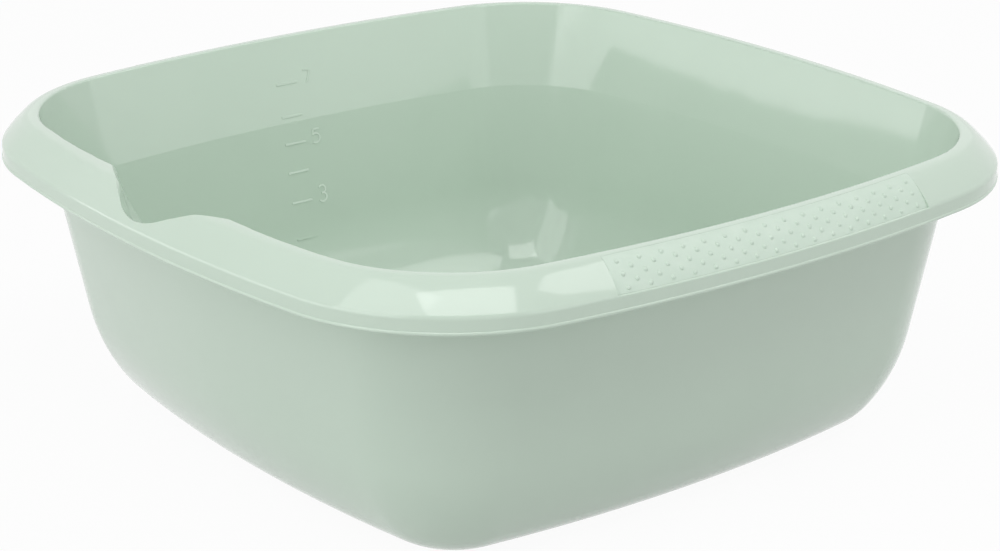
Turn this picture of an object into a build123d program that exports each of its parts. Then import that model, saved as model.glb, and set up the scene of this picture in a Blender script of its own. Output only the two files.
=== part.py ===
from build123d import *
import os
from math import acos, asin, atan2, cos, degrees, radians, sin, sqrt, tan

# Washing up bowl, in millimetres. Origin in the middle of the base, +Z up, pouring lip at -Y,
# grips at +X and -X. Every level of the bowl is one plan outline, set in or out from the crest of the rim.

# Plan of the rim's crest: four bowed sides joined by four round corners
crest_half = 153
side_radius = 655
corner_radius = 62

# Heights and walls
height = 124
wall = 1.6
floor_thickness = 2.2
rim_wall = 2.2

# Wall, and the base curve on the outside: a round at the base, then a larger heel round up to the wall.
# Together they leave the flat base with round corners of its own.
wall_angle = 79.2
base_turn = 53.5
heel_share = 2.5
base_corner_radius = 9

# Foot ring under the base
foot_width = 5
foot_depth = 0.8

# Rim section: crest land, round shoulder, sloping face, crease, skirt and its bead
crest_land = 1.2
crest_radius = 1.0
shoulder_radius = 8
shoulder_turn = 40
face_radius = 53
face_turn = 12.2
crease_radius = 3.0
skirt_depth = 17.2
bead_radius = 0.8
bead_proud = 0.3

# Pouring lip, a scoop through three sections: over the lip, at the crest and inside, where it widens
lip_offset = 2.5
lip_depth = 8.1
lip_reach = 12.7
scoop_slope = 52
scoop_rise = 0.6
scoop_outer = 14
scoop_outer_half = 28.5
scoop_outer_radius = 17.5
scoop_middle = 3.6
scoop_middle_half = 31
scoop_middle_radius = 26
scoop_inner = 20
scoop_inner_half = 80
scoop_inner_radius = 92
scoop_inner_depth = 37
scoop_headroom = 15
lip_wall_depth = 45
lip_span_share = 0.57

# Soft grips let into the rim face, flush at the top and sunk at the lower edge, and their rows of dots
grip_length = 147
grip_upper_angle = 15
grip_overrun = 0.45
grip_inset = 0.8
grip_depth = 1.35
shelf_reach = 2.2
shelf_drop = 18
seat_gap = 0.05
recess_headroom = 0.9
dot_radius = 1.05
dot_sink = 0.45
dot_pitch = 9.3
row_pitch = 2.5
row_count = 5
long_row_count = 16

# Raised litre scale inside the wall at -X: depth of each mark below the crest as a share of the height
mark_depth_shares = [0.159, 0.272, 0.368, 0.470, 0.577, 0.707]
mark_length = 10.6
mark_height = 0.9
mark_proud = 0.25
mark_root = 1.0
numeral_height = 5.6
numeral_width = 3.6
numeral_stroke = 0.8
numeral_gap = 4.0
numeral_lift = 1.6
numeral_marks = {7: 0, 5: 2, 3: 4}

# Strokes of the plain numerals as shares of their width and height: a line has two points, an arc three
numeral_shares = {
    7: [[(0, 1), (1, 1)], [(1, 1), (0.33, 0)]],
    5: [[(1, 1), (0.12, 1)], [(0.12, 1), (0, 0.56)], [(0, 0.56), (1, 0.3), (0, 0)]],
    3: [[(0, 1), (0.9, 0.76), (0.33, 0.54)], [(0.33, 0.54), (1, 0.27), (0, 0)]],
}


def polar(centre, radius, angle):
    """Point on a circle, with the angle measured from straight up, outwards."""
    return (centre[0] + radius * sin(radians(angle)), centre[1] + radius * cos(radians(angle)))


def arc(centre, radius, start, end):
    """Arc between two angles measured from straight up, outwards."""
    angles = (start, (start + end) / 2, end)
    return ThreePointArc(*[polar(centre, radius, angle) for angle in angles])


# Plan outline: a corner circle touches both of its side circles from inside
side_centre = side_radius - crest_half
reach = side_radius - corner_radius
corner_place = (sqrt(2 * reach**2 - side_centre**2) - side_centre) / 2
side_half_angle = degrees(atan2(corner_place, corner_place + side_centre))
corner_arc = 90 - 2 * side_half_angle

# Rim section, as distances out from the crest and heights above the base
shoulder_centre = (crest_land, height - shoulder_radius)
face_centre = polar(shoulder_centre, shoulder_radius - face_radius, shoulder_turn)
face_end = shoulder_turn + face_turn
crease_centre = polar(face_centre, face_radius - crease_radius, face_end)
skirt_out = crease_centre[0] + crease_radius
skirt_in = skirt_out - rim_wall
skirt_bottom = height - skirt_depth
bead_centre = (skirt_out + bead_proud - bead_radius, skirt_bottom + bead_radius)
bead_top = bead_centre[1] + sqrt(bead_radius**2 - (bead_radius - bead_proud)**2)
inner_end = degrees(asin((skirt_in - face_centre[0]) / (face_radius - rim_wall)))
inner_corner = polar(face_centre, face_radius - rim_wall, inner_end)

# Wall: a straight drafted line whose outside would meet the crest line at the top
lean = 1 / tan(radians(wall_angle))
wall_across = wall / sin(radians(wall_angle))
side_slope = 90 - wall_angle


def wall_out(depth):
    """Outside of the drafted wall, out from the crest line, at a depth below the crest."""
    return -depth * lean


# Base curve: two tangent arcs fill what the drafted wall leaves between the crest line and the flat base
base_drop = 180 - base_turn
wall_drop = 180 - wall_angle
rise_share = 1 - cos(radians(base_turn))
rise_share += heel_share * (cos(radians(base_turn)) - cos(radians(wall_angle)))
out_share = sin(radians(base_turn))
out_share += heel_share * (sin(radians(wall_angle)) - sin(radians(base_turn)))
flat_edge = base_corner_radius - corner_radius
base_radius = (wall_out(height) - flat_edge) / (out_share - lean * rise_share)
heel_radius = base_radius * heel_share
base_centre = (flat_edge, base_radius)
heel_centre = polar(base_centre, base_radius - heel_radius, base_drop)
foot_edge = flat_edge - foot_width

# Inside of the wall at the crest, where it rounds into the crest land
crest_in = wall_out(crest_radius) - wall_across
crest_centre = (crest_in + crest_radius / cos(radians(side_slope)), height - crest_radius)


def rim_top():
    """Edges of the rim's visible side, from the crest land out and down to the bead."""
    return [
        Line((crest_centre[0], height), (crest_land, height)),
        arc(shoulder_centre, shoulder_radius, 0, shoulder_turn),
        arc(face_centre, face_radius, shoulder_turn, face_end),
        arc(crease_centre, crease_radius, face_end, 90),
        Line((skirt_out, crease_centre[1]), (skirt_out, bead_top)),
        ThreePointArc(
            (skirt_out, bead_top),
            (skirt_out + bead_proud, bead_centre[1]),
            (bead_centre[0], skirt_bottom),
        ),
    ]


# Inside of the bowl: crest round, drafted wall, base curve. Its wall thins from the floor to the wall value.
inner_crest = polar(crest_centre, crest_radius, -wall_angle)
inner_wall_foot = polar(heel_centre, heel_radius - wall, wall_drop)
inner_heel_foot = polar(base_centre, base_radius - wall, base_drop)
inner_floor_edge = (flat_edge, floor_thickness)
inner_base_middle = polar(base_centre, base_radius - (wall + floor_thickness) / 2, 180 - base_turn / 2)

inside_edges = [
    arc(crest_centre, crest_radius, 0, -wall_angle),
    Line(inner_crest, inner_wall_foot),
    arc(heel_centre, heel_radius - wall, wall_drop, base_drop),
    ThreePointArc(inner_heel_foot, inner_base_middle, inner_floor_edge),
]

# Full section of the moulding, closed at the edge of the floor
section_edges = rim_top() + [
    Line((bead_centre[0], skirt_bottom), (skirt_in, skirt_bottom)),
    Line((skirt_in, skirt_bottom), inner_corner),
    arc(face_centre, face_radius - rim_wall, inner_end, shoulder_turn),
    arc(shoulder_centre, shoulder_radius - rim_wall, shoulder_turn, 0),
    Line((crest_land, height - rim_wall), (wall_out(rim_wall), height - rim_wall)),
    Line((wall_out(rim_wall), height - rim_wall), polar(heel_centre, heel_radius, wall_drop)),
    arc(heel_centre, heel_radius, wall_drop, base_drop),
    arc(base_centre, base_radius, base_drop, 180),
    Line((flat_edge, 0), (foot_edge, 0)),
    Line((foot_edge, 0), (foot_edge, floor_thickness)),
    Line((foot_edge, floor_thickness), inner_floor_edge),
] + inside_edges

# Filled rim section, which carries the scoop of the pouring lip
lip_wall_in = wall_out(lip_wall_depth) - wall_across
fill_edges = rim_top() + [
    Line((bead_centre[0], skirt_bottom), (skirt_in, skirt_bottom)),
    Line((skirt_in, skirt_bottom), (wall_out(lip_wall_depth), height - lip_wall_depth)),
    Line((wall_out(lip_wall_depth), height - lip_wall_depth), (lip_wall_in, height - lip_wall_depth)),
    Line((lip_wall_in, height - lip_wall_depth), inner_crest),
    arc(crest_centre, crest_radius, -wall_angle, 0),
]


def section_face(edges):
    """Closed section in the XZ plane, with X as the distance out from the crest line."""
    return make_face(Plane.XZ * (Curve() + edges))


def side_sweep(edges, half_angle):
    """Section swept along the bowed side at +X, by half an angle each way."""
    profile = Pos(side_radius, 0, 0) * section_face(edges)
    swept = revolve(profile, Axis.Z, 2 * half_angle)
    return Pos(-side_centre, 0, 0) * Rot(0, 0, -half_angle) * swept


def corner_sweep(edges):
    """Section swept round the corner between +X and +Y."""
    profile = Pos(corner_radius, 0, 0) * section_face(edges)
    swept = revolve(profile, Axis.Z, corner_arc)
    return Pos(corner_place, corner_place, 0) * Rot(0, 0, side_half_angle) * swept


def plan_face(offset, level):
    """Flat face of the plan outline, set out from the crest line, at a level."""
    edges = []
    for turn in range(4):
        side = CenterArc((-side_centre, 0), side_radius + offset, -side_half_angle, 2 * side_half_angle)
        corner = CenterArc((corner_place, corner_place), corner_radius + offset, side_half_angle, corner_arc)
        edges.append(Rot(0, 0, 90 * turn) * side)
        edges.append(Rot(0, 0, 90 * turn) * corner)
    return Pos(0, 0, level) * make_face(Curve() + edges)


# Bowl moulding: four sides, four corners and the floor inside the foot ring
side = side_sweep(section_edges, side_half_angle)
corner = corner_sweep(section_edges)
floor = extrude(plan_face(foot_edge, foot_depth), floor_thickness - foot_depth)
pieces = []
for turn in range(4):
    pieces.append(Rot(0, 0, 90 * turn) * side)
    pieces.append(Rot(0, 0, 90 * turn) * corner)
bowl = floor.fuse(*pieces)


def scoop_section(out, depth, half, radius, thickness):
    """Bell shaped section of the scoop: a round bottom and two round shoulders, in the XZ plane."""
    bottom = height - depth
    top = height + scoop_rise
    flank = 2 * degrees(atan2(top - bottom, half))
    shoulder = half / sin(radians(flank)) - radius
    sink = thickness / cos(radians(scoop_slope)) - thickness
    low = radius + thickness
    high = shoulder - thickness
    bell = [
        arc((0, bottom + radius - sink), low, 180, 180 - flank),
        arc((half, top - shoulder - sink), high, -flank, 0),
        Line((half, top - thickness - sink), (half, height + scoop_headroom)),
        Line((half, height + scoop_headroom), (0, height + scoop_headroom)),
    ]
    mirrored = [mirror(edge, Plane.YZ) for edge in bell]
    face = make_face(Plane.XZ * (Curve() + bell + mirrored))
    return Pos(lip_offset, -(crest_half + out), 0) * face


def scoop(thickness):
    """Scoop of the pouring lip on the -Y side, or its outside when a wall thickness is given."""
    steep = tan(radians(scoop_slope))
    outer_depth = lip_depth - (scoop_outer - lip_reach) * steep
    middle_depth = lip_depth + (lip_reach - scoop_middle) * steep
    sections = [
        scoop_section(scoop_outer, outer_depth, scoop_outer_half, scoop_outer_radius, thickness),
        scoop_section(scoop_middle, middle_depth, scoop_middle_half, scoop_middle_radius, thickness),
        scoop_section(-scoop_inner, scoop_inner_depth, scoop_inner_half, scoop_inner_radius, thickness),
    ]
    return loft(sections, ruled=True)


# Pouring lip: the scoop is cut out of the rim, and its own wall closes the rim below it
scoop_cut = scoop(0)
rim_fill = Rot(0, 0, -90) * side_sweep(fill_edges, side_half_angle * lip_span_share)
lip = (rim_fill & scoop(wall)) - scoop_cut
bowl = (bowl - scoop_cut) + lip


# Soft grips: a pad whose surface leaves the rim face at the shoulder and sinks below it to the lower edge
pad_lower = face_end + degrees(grip_overrun / face_radius)
pad_start = polar(face_centre, face_radius, shoulder_turn)
pad_end = polar(face_centre, face_radius - grip_inset, pad_lower)
pad_chord = (pad_end[0] - pad_start[0], pad_end[1] - pad_start[1])
pad_fall = -pad_chord[0] * sin(radians(shoulder_turn)) - pad_chord[1] * cos(radians(shoulder_turn))
pad_radius = (pad_chord[0]**2 + pad_chord[1]**2) / (2 * pad_fall)
pad_centre = polar(shoulder_centre, shoulder_radius - pad_radius, shoulder_turn)
pad_turn = degrees(atan2(pad_end[0] - pad_centre[0], pad_end[1] - pad_centre[1]))


def grip_band(surface, start, end, upper, lower, depth, half_length):
    """Band swept along the grip, from the edges of its surface down to a depth under the rim face."""
    band = surface + [
        Line(end, polar(face_centre, face_radius - depth, lower)),
        arc(face_centre, face_radius - depth, lower, shoulder_turn),
        arc(shoulder_centre, shoulder_radius - depth, shoulder_turn, upper),
        Line(polar(shoulder_centre, shoulder_radius - depth, upper), start),
    ]
    return side_sweep(band, degrees(half_length / (side_radius + crest_land)))


pad_surface = [
    arc(shoulder_centre, shoulder_radius, grip_upper_angle, shoulder_turn),
    arc(pad_centre, pad_radius, shoulder_turn, pad_turn),
]
pad_top = polar(shoulder_centre, shoulder_radius, grip_upper_angle)
grip = grip_band(pad_surface, pad_top, pad_end, grip_upper_angle, pad_lower, grip_depth, grip_length / 2)

# Recess of the same shape, larger by the seat gap and open above the rim face. A shelf leads out of it.
recess_upper = grip_upper_angle - degrees(seat_gap / shoulder_radius)
recess_lower = pad_lower + degrees(seat_gap / face_radius)
recess_start = polar(shoulder_centre, shoulder_radius + recess_headroom, recess_upper)
recess_top = polar(face_centre, face_radius + recess_headroom, recess_lower)
shelf_in = polar(face_centre, face_radius - grip_inset, recess_lower)
shelf_across = shelf_reach * cos(radians(shelf_drop))
shelf_out = (shelf_in[0] + shelf_across, shelf_in[1] - shelf_reach * sin(radians(shelf_drop)))
recess_surface = [
    arc(shoulder_centre, shoulder_radius + recess_headroom, recess_upper, shoulder_turn),
    arc(face_centre, face_radius + recess_headroom, shoulder_turn, recess_lower),
    Line(recess_top, shelf_out),
    Line(shelf_out, shelf_in),
]
recess = grip_band(
    recess_surface,
    recess_start,
    shelf_in,
    recess_upper,
    recess_lower,
    grip_depth + seat_gap,
    grip_length / 2 + seat_gap,
)

# Rows of dots on the grip, long rows and short rows by turns
dome = Sphere(dot_radius, arc_size1=0, align=(Align.CENTER, Align.CENTER, Align.MIN))
dots = []
for row in range(row_count):
    angle = shoulder_turn + degrees(row * row_pitch / pad_radius)
    place = polar(pad_centre, pad_radius - dot_sink, angle)
    count = long_row_count - row % 2
    for number in range(count):
        turn = degrees((number - (count - 1) / 2) * dot_pitch / (side_radius + place[0]))
        dot = Pos(side_radius + place[0], 0, place[1]) * Rot(0, angle, 0) * dome
        dots.append(Pos(-side_centre, 0, 0) * Rot(0, 0, turn) * dot)
grip = grip.fuse(*dots)

bowl = bowl - recess - Rot(0, 0, 180) * recess

# Raised litre scale inside the -X wall
scale_solids = []


def numeral_lines(number):
    """Centre lines of a plain numeral in a box of the numeral's width and height."""
    lines = []
    for stroke in numeral_shares[number]:
        points = [(across * numeral_width, up * numeral_height) for across, up in stroke]
        if len(points) == 2:
            lines.append(Line(*points))
        else:
            lines.append(ThreePointArc(*points))
    return lines


def on_wall(solid, depth, along):
    """Solid drawn against the YZ plane, moved onto the inside of the -X wall or its heel round."""
    level = height - depth
    out = wall_out(depth) - wall_across
    slope = side_slope
    if level < inner_wall_foot[1]:
        drop = degrees(acos((level - heel_centre[1]) / (heel_radius - wall)))
        out = polar(heel_centre, heel_radius - wall, drop)[0]
        slope = drop - 90
    bow = (side_radius + out) - sqrt((side_radius + out)**2 - along**2)
    return Pos(-(crest_half + out - bow), along, level) * Rot(0, -slope, 0) * solid


for share in mark_depth_shares:
    depth = share * height
    bar = Pos((mark_proud - mark_root) / 2, 0, 0) * Box(mark_proud + mark_root, mark_length, mark_height)
    scale_solids.append(on_wall(bar, depth, 0))
for number, mark in numeral_marks.items():
    depth = mark_depth_shares[mark] * height - numeral_lift
    lines = numeral_lines(number)
    strokes = [Plane.YZ * Pos(0, -numeral_height / 2) * trace(line, numeral_stroke) for line in lines]
    for stroke in strokes:
        solid = Pos(-mark_root, 0, 0) * extrude(stroke, mark_proud + mark_root)
        scale_solids.append(on_wall(solid, depth, mark_length / 2 + numeral_gap))
bowl = bowl.fuse(*scale_solids)

nodes = {
    "bowl_moulding": bowl,
    "right_grip": grip,
    "left_grip": Rot(0, 0, 180) * grip,
}
os.makedirs("parts", exist_ok=True)
for name, shape in nodes.items():
    export_step(shape, f"parts/{name}.step")
    print(name, len(shape.solids()), round(shape.volume, 1), shape.bounding_box())
print("corner place", round(corner_place, 3), "side half angle", round(side_half_angle, 3))
print("skirt out", round(skirt_out, 3), "base radius", round(base_radius, 3))
print("pad radius", round(pad_radius, 3), "pad turn", round(pad_turn, 3))
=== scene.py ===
import math

import bmesh
import bpy
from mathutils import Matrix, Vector


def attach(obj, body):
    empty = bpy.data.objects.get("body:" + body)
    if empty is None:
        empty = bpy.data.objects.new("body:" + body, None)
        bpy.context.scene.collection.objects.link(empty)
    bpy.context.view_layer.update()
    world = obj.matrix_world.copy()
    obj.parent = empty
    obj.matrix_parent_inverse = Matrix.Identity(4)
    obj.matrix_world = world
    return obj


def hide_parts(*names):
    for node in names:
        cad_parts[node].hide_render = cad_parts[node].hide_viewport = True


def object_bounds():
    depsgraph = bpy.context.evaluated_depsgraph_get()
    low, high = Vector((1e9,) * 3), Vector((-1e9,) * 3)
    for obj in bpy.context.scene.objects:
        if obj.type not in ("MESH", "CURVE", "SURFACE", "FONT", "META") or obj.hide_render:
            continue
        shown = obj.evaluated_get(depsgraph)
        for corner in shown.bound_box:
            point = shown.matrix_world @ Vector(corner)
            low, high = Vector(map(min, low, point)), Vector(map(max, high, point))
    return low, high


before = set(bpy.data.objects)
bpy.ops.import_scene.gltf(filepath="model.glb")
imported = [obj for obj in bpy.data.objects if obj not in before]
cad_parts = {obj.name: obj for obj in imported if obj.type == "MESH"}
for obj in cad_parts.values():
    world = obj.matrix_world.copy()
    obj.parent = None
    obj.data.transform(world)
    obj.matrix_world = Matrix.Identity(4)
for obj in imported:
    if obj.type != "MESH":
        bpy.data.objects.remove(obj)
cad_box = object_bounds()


# Bowl moulding: one injection moulding in opaque mint green polypropylene, glossy from a polished tool.
# Floor, walls, rolled rim, skirt, pouring lip and litre scale come out of the tool together, and the inside wall
# leans out more above the height where the next bowl of a stack rests.

class Wire:
    """A socket in a material, so that shader maths reads as plain expressions."""

    def __init__(self, tree, socket=None):
        self.tree = tree
        self.socket = socket

    def node(self, kind, settings, inputs, output=0):
        """Add one node: its settings first, then the values or wires of its sockets."""
        made = self.tree.nodes.new(kind)
        for name, value in settings.items():
            setattr(made, name, value)
        for name, value in inputs.items():
            if isinstance(value, Wire):
                self.tree.links.new(value.socket, made.inputs[name])
            else:
                made.inputs[name].default_value = value
        return Wire(self.tree, made.outputs[output] if made.outputs else None)

    def math(self, operation, first, second):
        return self.node("ShaderNodeMath", {"operation": operation}, {0: first, 1: second})

    def __add__(self, other):
        return self.math("ADD", self, other)

    def __mul__(self, other):
        return self.math("MULTIPLY", self, other)

    __radd__ = __add__
    __rmul__ = __mul__

    def noise(self, place, scale, detail=2.0):
        """Soft random values from 0 to 1, at so many lumps to the metre."""
        return self.node("ShaderNodeTexNoise", {}, {"Vector": place, "Scale": scale, "Detail": detail})

    def ramp(self, value, start, end):
        """0 below the start and 1 above the end, smooth between them."""
        settings = {"interpolation_type": "SMOOTHSTEP"}
        return self.node("ShaderNodeMapRange", settings, {"Value": value, "From Min": start, "From Max": end})

    def blend(self, share, first, second):
        """One colour turned into another by a share."""
        return self.node("ShaderNodeMix", {"data_type": "RGBA"}, {0: share, 6: first, 7: second}, 2)

    def bump(self, height, depth, under=None):
        """A shallow relief of so many metres, over another relief if one is given."""
        inputs = {"Height": height, "Distance": depth, "Strength": 1.0}
        if under:
            inputs["Normal"] = under
        return self.node("ShaderNodeBump", {}, inputs)


def new_finish(name):
    """A material with an empty node tree, and its first wire."""
    finish = bpy.data.materials.new(name)
    finish.use_nodes = True
    finish.node_tree.nodes.clear()
    return finish, Wire(finish.node_tree)


# The mint is a little paler where the plastic flowed thin and deeper in faint clouds. Its surface waves slowly with
# the flow, has the faintest orange peel, and the tool's polish leaves a fine grain. Depths are in metres.
mint = (0.545, 0.660, 0.562, 1)
mint_thin = (0.560, 0.672, 0.576, 1)
mint_deep = (0.505, 0.620, 0.522, 1)
flow_lumps = 9.0
cloud_lumps = 60.0
peel_lumps = 260.0
grain_lumps = 1400.0
flow_range = (0.35, 0.65)
cloud_share = 0.12
flow_depth = 0.0006
peel_depth = 0.000008
grain_depth = 0.0000015
polish = 0.055
cloud_dulls = 0.04
grain_dulls = 0.02
polypropylene_ior = 1.49

moulding_finish, wire = new_finish("mint_polypropylene")
place = wire.node("ShaderNodeTexCoord", {}, {}, "Object")
flow = wire.noise(place, flow_lumps, 3.0)
cloud = wire.noise(place, cloud_lumps, 4.0)
peel = wire.noise(place, peel_lumps)
grain = wire.noise(place, grain_lumps)
tone = wire.blend(wire.ramp(flow, *flow_range), mint_thin, mint)
tone = wire.blend(cloud * cloud_share, tone, mint_deep)
roughness = polish + cloud * cloud_dulls + grain * grain_dulls
relief = wire.bump(flow, flow_depth)
relief = wire.bump(peel, peel_depth, relief)
relief = wire.bump(grain, grain_depth, relief)
gloss = wire.node("ShaderNodeBsdfPrincipled", {}, {
    "Base Color": tone,
    "Roughness": roughness,
    "IOR": polypropylene_ior,
    "Normal": relief,
})
wire.node("ShaderNodeOutputMaterial", {}, {"Surface": gloss})

# What shows is a copy of the bowl's mesh with the shading of its true section, which sweeps round bowed sides and
# round corners. Long narrow facets along the rim would glitter without it. Lengths are in mm and angles in degrees.
height = round(cad_box[1][2] * 1000, 2)
crest_half = 153.0
side_radius = 655.0
corner_radius = 62.0
crest_land = 1.2
crest_radius = 1.0
shoulder_radius = 8.0
shoulder_turn = 40.0
face_radius = 53.0
face_turn = 12.2
crease_radius = 3.0
skirt_depth = 17.2
bead_radius = 0.8
rim_wall = 2.2
wall = 1.6
wall_angle = 79.2
floor_thickness = 2.2
base_corner_radius = 9.0
base_turn = 53.5
heel_share = 2.5


def polar(centre, radius, tilt):
    """The place on a round where the surface is tilted so much from straight up, outwards."""
    return (centre[0] + radius * math.sin(math.radians(tilt)), centre[1] + radius * math.cos(math.radians(tilt)))


def round_through(first, second, third):
    """The centre and the radius of the round through three places."""
    aside, above, twice = 0, 0, 0
    for place, other, another in ((first, second, third), (second, third, first), (third, first, second)):
        square = place[0]**2 + place[1]**2
        aside += square * (other[1] - another[1])
        above += square * (another[0] - other[0])
        twice += 2 * place[0] * (other[1] - another[1])
    centre = (aside / twice, above / twice)
    return centre, math.dist(first, centre)


# Plan of the crest: each corner touches the two bowed sides beside it.
side_centre = crest_half - side_radius
corner_reach = side_radius - corner_radius
corner_place = (math.sqrt(2 * corner_reach**2 - side_centre**2) + side_centre) / 2
side_half_angle = math.degrees(math.atan2(corner_place, corner_place - side_centre))

# Rim, as places out from the crest line and up from the base.
wall_sine, wall_cosine = math.sin(math.radians(wall_angle)), math.cos(math.radians(wall_angle))
lean = wall_cosine / wall_sine
crest_centre = ((crest_radius - wall) / wall_sine - crest_radius * lean, height - crest_radius)
shoulder_centre = (crest_land, height - shoulder_radius)
face_centre = polar(shoulder_centre, shoulder_radius - face_radius, shoulder_turn)
face_end = shoulder_turn + face_turn
crease_centre = polar(face_centre, face_radius - crease_radius, face_end)
skirt_out = crease_centre[0] + crease_radius
skirt_foot = height - skirt_depth + bead_radius

# Base: a small round and a larger heel round fill what the leaning wall leaves between crest line and flat base.
wall_drop = 180 - wall_angle
base_drop = 180 - base_turn
base_sine, base_cosine = math.sin(math.radians(base_turn)), math.cos(math.radians(base_turn))
rise_share = 1 - base_cosine + heel_share * (base_cosine - wall_cosine)
out_share = base_sine + heel_share * (wall_sine - base_sine)
flat_edge = base_corner_radius - corner_radius
base_radius = (-height * lean - flat_edge) / (out_share - lean * rise_share)
heel_radius = base_radius * heel_share
base_centre = (flat_edge, base_radius)
heel_centre = polar(base_centre, base_radius - heel_radius, base_drop)
base_wall = (wall + floor_thickness) / 2  # half way round, where the wall thickens into the floor
inner_base_centre, inner_base_radius = round_through(
    polar(base_centre, base_radius - wall, base_drop),
    polar(base_centre, base_radius - base_wall, 180 - base_turn / 2),
    (flat_edge, floor_thickness),
)
floor_turn = math.degrees(math.asin((inner_base_centre[0] - flat_edge) / inner_base_radius))

# Each round of the section: its centre, its radius, the directions it spans, and how far the surface's own direction
# is turned from them, 180 where the surface is hollow.
rounds = {
    "crest": (crest_centre, crest_radius, (-wall_angle, 0), 0),
    "shoulder": (shoulder_centre, shoulder_radius, (0, shoulder_turn), 0),
    "face": (face_centre, face_radius, (shoulder_turn, face_end), 0),
    "crease": (crease_centre, crease_radius, (face_end, 90), 0),
    "heel inside": (heel_centre, heel_radius - wall, (wall_drop, base_drop), 180),
    "base inside": (inner_base_centre, inner_base_radius, (base_drop, 180 + floor_turn), 180),
    "heel outside": (heel_centre, heel_radius, (wall_drop, base_drop), 0),
    "base outside": (base_centre, base_radius, (base_drop, 180), 0),
}

# Each straight of the section: its two ends, its tilt from straight up, and how close to it a facet's corners lie.
# The wall's are further off, because the cut below takes them from the middle of long facets. A corner may also lie
# past the end of a round by the slack in degrees, and past the end of a straight by a share of its length.
closeness = 0.012
wall_closeness = 0.13
round_slack = 0.4
straight_slack = 0.01
inner_top = polar(crest_centre, crest_radius, -wall_angle)
inner_foot = polar(heel_centre, heel_radius - wall, wall_drop)
outer_top = (-rim_wall * lean, height - rim_wall)
outer_foot = polar(heel_centre, heel_radius, wall_drop)
straights = {
    "land": ((crest_centre[0], height), (crest_land, height), 0, closeness),
    "skirt": ((skirt_out, crease_centre[1]), (skirt_out, skirt_foot), 90, closeness),
    "wall inside": (inner_top, inner_foot, -wall_angle, wall_closeness),
    "wall outside": (outer_top, outer_foot, wall_drop, wall_closeness),
}

# Inside, the photograph's reflections break all round at the height where stacked bowls rest: the wall leans out 4
# degrees more above it, up to an opening that is a little wider. The copy takes these drifts from the straight wall,
# and the crest goes along where it lies further in than crest_moved. Beside the pouring lip the drifts fade to none.
stacking_line = 87.7
drift_at_line = -1.36
drift_at_top = 1.25
upper_lean = 4.0
crest_moved = -0.5
lip_clear = 38.0
lip_fade = 30.0

# The litre marks drift along with the wall, from a little behind it to mark_reach in front of it. Their tops stand
# between the two mark_top distances from it and shine with a tilt of their own, as if they were rounded.
wall_slack = 0.05
mark_reach = 0.6
mark_top = (0.15, 0.4)
mark_tilt = -65


def outward(place):
    """How far out from the crest line a place is, and which way out is there."""
    across, along = abs(place.x), abs(place.y)
    turn = math.degrees(math.atan2(along - corner_place, across - corner_place))
    if side_half_angle < turn < 90 - side_half_angle:
        away, radius = Vector((across - corner_place, along - corner_place)), corner_radius
    elif across > along:
        away, radius = Vector((across - side_centre, along)), side_radius
    else:
        away, radius = Vector((across, along - side_centre)), side_radius
    out = away.length - radius
    away.normalize()
    return out, (math.copysign(away.x, place.x), math.copysign(away.y, place.y))


def proud(out, level):
    """How far a place stands in front of the straight inside wall."""
    return inner_top[0] - lean * (inner_top[1] - level) - out


def tilts(out, level):
    """The tilt of the surface at a place, for each piece of the section that passes through it."""
    found = {}
    for name, (centre, radius, span, turned) in rounds.items():
        aside, above = out - centre[0], level - centre[1]
        direction = math.degrees(math.atan2(aside, above)) % 360
        direction -= 360 if direction > 270 else 0
        on_round = abs(math.hypot(aside, above) - radius) < closeness
        if on_round and span[0] - round_slack < direction < span[1] + round_slack:
            found[name] = direction + turned
    for name, (start, end, tilt, near) in straights.items():
        along = Vector(end) - Vector(start)
        reach = Vector((out, level)) - Vector(start)
        share = reach.dot(along) / along.length_squared
        if (reach - along * share).length < near and -straight_slack < share < 1 + straight_slack:
            found[name] = tilt
    if inner_foot[1] < level < inner_top[1] and mark_top[0] < proud(out, level) < mark_top[1]:
        found["mark"] = mark_tilt
    return found


def facing_at(way_out, tilt):
    """The direction of the surface with a tilt from straight up, at a place with its own way out."""
    aside = math.sin(math.radians(tilt))
    return Vector((way_out[0] * aside, way_out[1] * aside, math.cos(math.radians(tilt))))


def drift(out, place):
    """How far out the inside of the wall, with its marks and its rounded top, stands from the straight wall."""
    level = place.z
    from_lip = abs(place.x) if place.y < 0 else lip_clear + lip_fade
    share = min(max((from_lip - lip_clear) / lip_fade, 0), 1)
    if level > inner_top[1]:
        return drift_at_top * share if out < crest_moved else 0
    if level < inner_foot[1] or not -wall_slack < proud(out, level) < mark_reach:
        return 0
    if level < stacking_line:
        return share * drift_at_line * (level - inner_foot[1]) / (stacking_line - inner_foot[1])
    rise = (level - stacking_line) / (inner_top[1] - stacking_line)
    return share * (drift_at_line + (drift_at_top - drift_at_line) * rise)


# The copy is cut at the stacking line and bent. Each facet whose corners share a piece of the section takes that
# piece's own directions, and every other facet keeps those of the solid's mesh.
sliver_area = 1e-9
facing_match = 0.9
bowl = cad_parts["bowl_moulding"]
bowl_mesh = bowl.data.copy()
own_facing = bowl_mesh.attributes.new("own_facing", "FLOAT_VECTOR", "CORNER")
for corner, kept in zip(bowl_mesh.corner_normals, own_facing.data):
    kept.vector = corner.vector
cut = bmesh.new()
cut.from_mesh(bowl_mesh)
everything = cut.verts[:] + cut.edges[:] + cut.faces[:]
bmesh.ops.bisect_plane(cut, geom=everything, plane_co=(0, 0, stacking_line / 1000), plane_no=(0, 0, 1))
cut.to_mesh(bowl_mesh)
cut.free()

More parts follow.
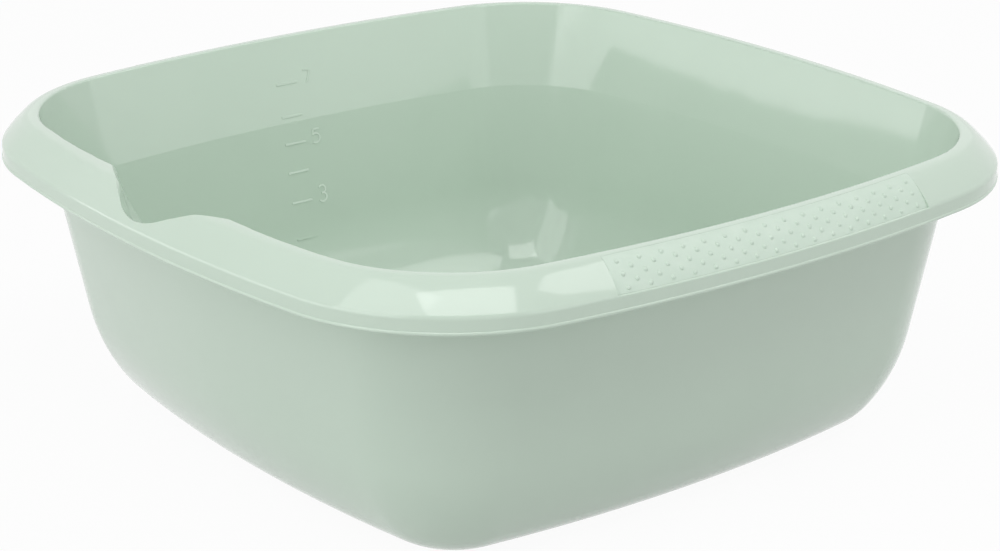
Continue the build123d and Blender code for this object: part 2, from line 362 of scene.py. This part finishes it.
spots = []
moved = []
for vertex in bowl_mesh.vertices:
    spot = vertex.co * 1000
    out, way_out = outward(spot)
    spots.append((way_out, tilts(out, spot.z)))
    moved.append(vertex.co + Vector((*way_out, 0)) * drift(out, spot) / 1000)
facings = [kept.vector.copy() for kept in bowl_mesh.attributes["own_facing"].data]
for facet in bowl_mesh.polygons:
    corners = [spots[number] for number in facet.vertices]
    shared = set(corners[0][1]).intersection(*(found for way_out, found in corners[1:]))
    for name in shared:
        upper = name == "wall inside" and facet.center.z * 1000 > stacking_line
        bend = upper_lean if upper else 0
        true_facings = [facing_at(way_out, found[name] + bend) for way_out, found in corners]
        if facet.area < sliver_area or facet.normal.dot(true_facings[0]) > facing_match:
            for loop, facing in zip(facet.loop_indices, true_facings):
                facings[loop] = facing
for vertex, new_place in zip(bowl_mesh.vertices, moved):
    vertex.co = new_place
bowl_mesh.attributes.remove(bowl_mesh.attributes["own_facing"])
bowl_mesh.normals_split_custom_set(facings)
bowl_shell = bpy.data.objects.new("bowl_shell", bowl_mesh)
bpy.context.scene.collection.objects.link(bowl_shell)
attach(bowl_shell, "root")
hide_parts("bowl_moulding")
for mesh in (bowl.data, bowl_mesh):
    mesh.materials.clear()
    mesh.materials.append(moulding_finish)

# Grips: soft elastomer pads in the same mint, moulded into a recess of each side rim. Their surface is flush at
# the top and sinks below the rim towards the skirt, and five rows of raised dots stop wet fingers from slipping.
# The tool is spark eroded there, so the pads are matt with a fine even grain.
soft_mint = (0.570, 0.685, 0.590, 1)
soft_mint_worn = (0.600, 0.710, 0.618, 1)
wear_lumps = 90.0
spark_lumps = 3200.0
dimple_lumps = 900.0
dimple_depth = 0.00003
spark_depth = 0.00001
wear_range = (0.4, 0.7)
matt = 0.40
wear_dulls = 0.12
dimple_dulls = 0.10
elastomer_ior = 1.46

grip_finish, wire = new_finish("soft_mint_elastomer")
place = wire.node("ShaderNodeTexCoord", {}, {}, "Object")
wear = wire.noise(place, wear_lumps, 4.0)
spark = wire.noise(place, spark_lumps)
dimple = wire.noise(place, dimple_lumps, 3.0)
tone = wire.blend(wire.ramp(wear, *wear_range), soft_mint, soft_mint_worn)
roughness = matt + wear * wear_dulls + dimple * dimple_dulls
relief = wire.bump(dimple, dimple_depth)
relief = wire.bump(spark, spark_depth, relief)
soft = wire.node("ShaderNodeBsdfPrincipled", {}, {
    "Base Color": tone,
    "Roughness": roughness,
    "IOR": elastomer_ior,
    "Normal": relief,
})
wire.node("ShaderNodeOutputMaterial", {}, {"Surface": soft})
for name in ("right_grip", "left_grip"):
    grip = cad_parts[name]
    grip.data.materials.clear()
    grip.data.materials.append(grip_finish)

# Studio: a white floor that runs out of view and a white surround, which show white to the camera and in the gloss.
# Wide panels of soft light stand left and right of the camera with a gap between them, one softbox hangs high in
# front and one high on the right, and a weak one behind fills the far side. Lengths are in metres.
floor_half = 6.0
floor_white_share = 0.95
paper_white = (0.70, 0.70, 0.70, 1)
white = (1, 1, 1, 1)
surround_light = 0.42

floor_mesh = bpy.data.meshes.new("studio_floor")
floor_corners = [(-floor_half, -floor_half, 0), (floor_half, -floor_half, 0),
                 (floor_half, floor_half, 0), (-floor_half, floor_half, 0)]
floor_mesh.from_pydata(floor_corners, [], [(0, 1, 2, 3)])
floor = bpy.data.objects.new("studio_floor", floor_mesh)
bpy.context.scene.collection.objects.link(floor)


def shows_white(wire):
    """1 for the rays that show the surround itself: seen straight, in gloss or through glass."""
    kinds = ("Is Camera Ray", "Is Glossy Ray", "Is Transmission Ray")
    camera_ray, glossy_ray, through_ray = [wire.node("ShaderNodeLightPath", {}, {}, kind) for kind in kinds]
    return camera_ray + glossy_ray + through_ray


floor_finish, wire = new_finish("white_paper")
paper = wire.node("ShaderNodeBsdfDiffuse", {}, {"Color": paper_white})
glow = wire.node("ShaderNodeEmission", {}, {"Color": white, "Strength": 1.0})
shown = wire.node("ShaderNodeMixShader", {}, {0: shows_white(wire) * floor_white_share, 1: paper, 2: glow})
wire.node("ShaderNodeOutputMaterial", {}, {"Surface": shown})
floor_mesh.materials.append(floor_finish)

world = bpy.data.worlds.new("studio")
bpy.context.scene.world = world
world.use_nodes = True
world.node_tree.nodes.clear()
wire = Wire(world.node_tree)
strength = surround_light + shows_white(wire) * (1 - surround_light)
sky = wire.node("ShaderNodeBackground", {}, {"Color": white, "Strength": strength})
wire.node("ShaderNodeOutputWorld", {}, {"Surface": sky})


# The lamps aim at the middle of the bowl. For each: degrees round from +X and degrees up from there, how far away it
# stands, its width and length, and its power in watts.
lamp_aim = Vector((0, 0, 0.08))
softboxes = {
    "front_top_softbox": (-27, 60, 1.7, 1.05, 0.62, 6.8),
    "left_panel": (-106, 11.5, 1.9, 3.7, 0.55, 11.2),
    "left_high_panel": (-82, 42, 1.9, 1.1, 1.9, 9.6),
    "right_panel": (28, 14, 1.9, 2.0, 0.8, 4.1),
    "right_high_softbox": (60, 51, 1.8, 1.2, 0.7, 6.6),
    "back_fill": (140, 30, 1.9, 2.0, 1.2, 1.5),
}
for name, (azimuth, elevation, distance, width, length, power) in softboxes.items():
    softbox = bpy.data.lights.new(name, "AREA")
    softbox.shape = "RECTANGLE"
    softbox.size = width
    softbox.size_y = length
    softbox.energy = power
    stand = bpy.data.objects.new(name, softbox)
    bpy.context.scene.collection.objects.link(stand)
    flat = distance * math.cos(math.radians(elevation))
    rise = distance * math.sin(math.radians(elevation))
    turn = math.radians(azimuth)
    from_bowl = Vector((flat * math.cos(turn), flat * math.sin(turn), rise))
    stand.location = lamp_aim + from_bowl
    stand.rotation_euler = (-from_bowl).to_track_quat("-Z", "Y").to_euler()

# Camera: at the photograph's place, above the corner between the lip's side and the right grip.
# It was fitted to the photograph: its place in metres, how far it looks down and how far round it stands, in degrees.
camera_place = (0.78250, -0.61191, 0.41875)
looks_down = 20.70
stands_round = 51.64
focal_length = 94.324
film_width = 36
shift_right = -0.0083
shift_up = 0.0311

camera_data = bpy.data.cameras.new("camera")
camera_data.lens = focal_length
camera_data.sensor_width = film_width
camera_data.shift_x = shift_right
camera_data.shift_y = shift_up
camera = bpy.data.objects.new("camera", camera_data)
bpy.context.scene.collection.objects.link(camera)
camera.location = camera_place
camera.rotation_euler = (math.radians(90 - looks_down), 0, math.radians(stands_round))
bpy.context.scene.camera = camera
bpy.context.scene.view_settings.view_transform = "Standard"
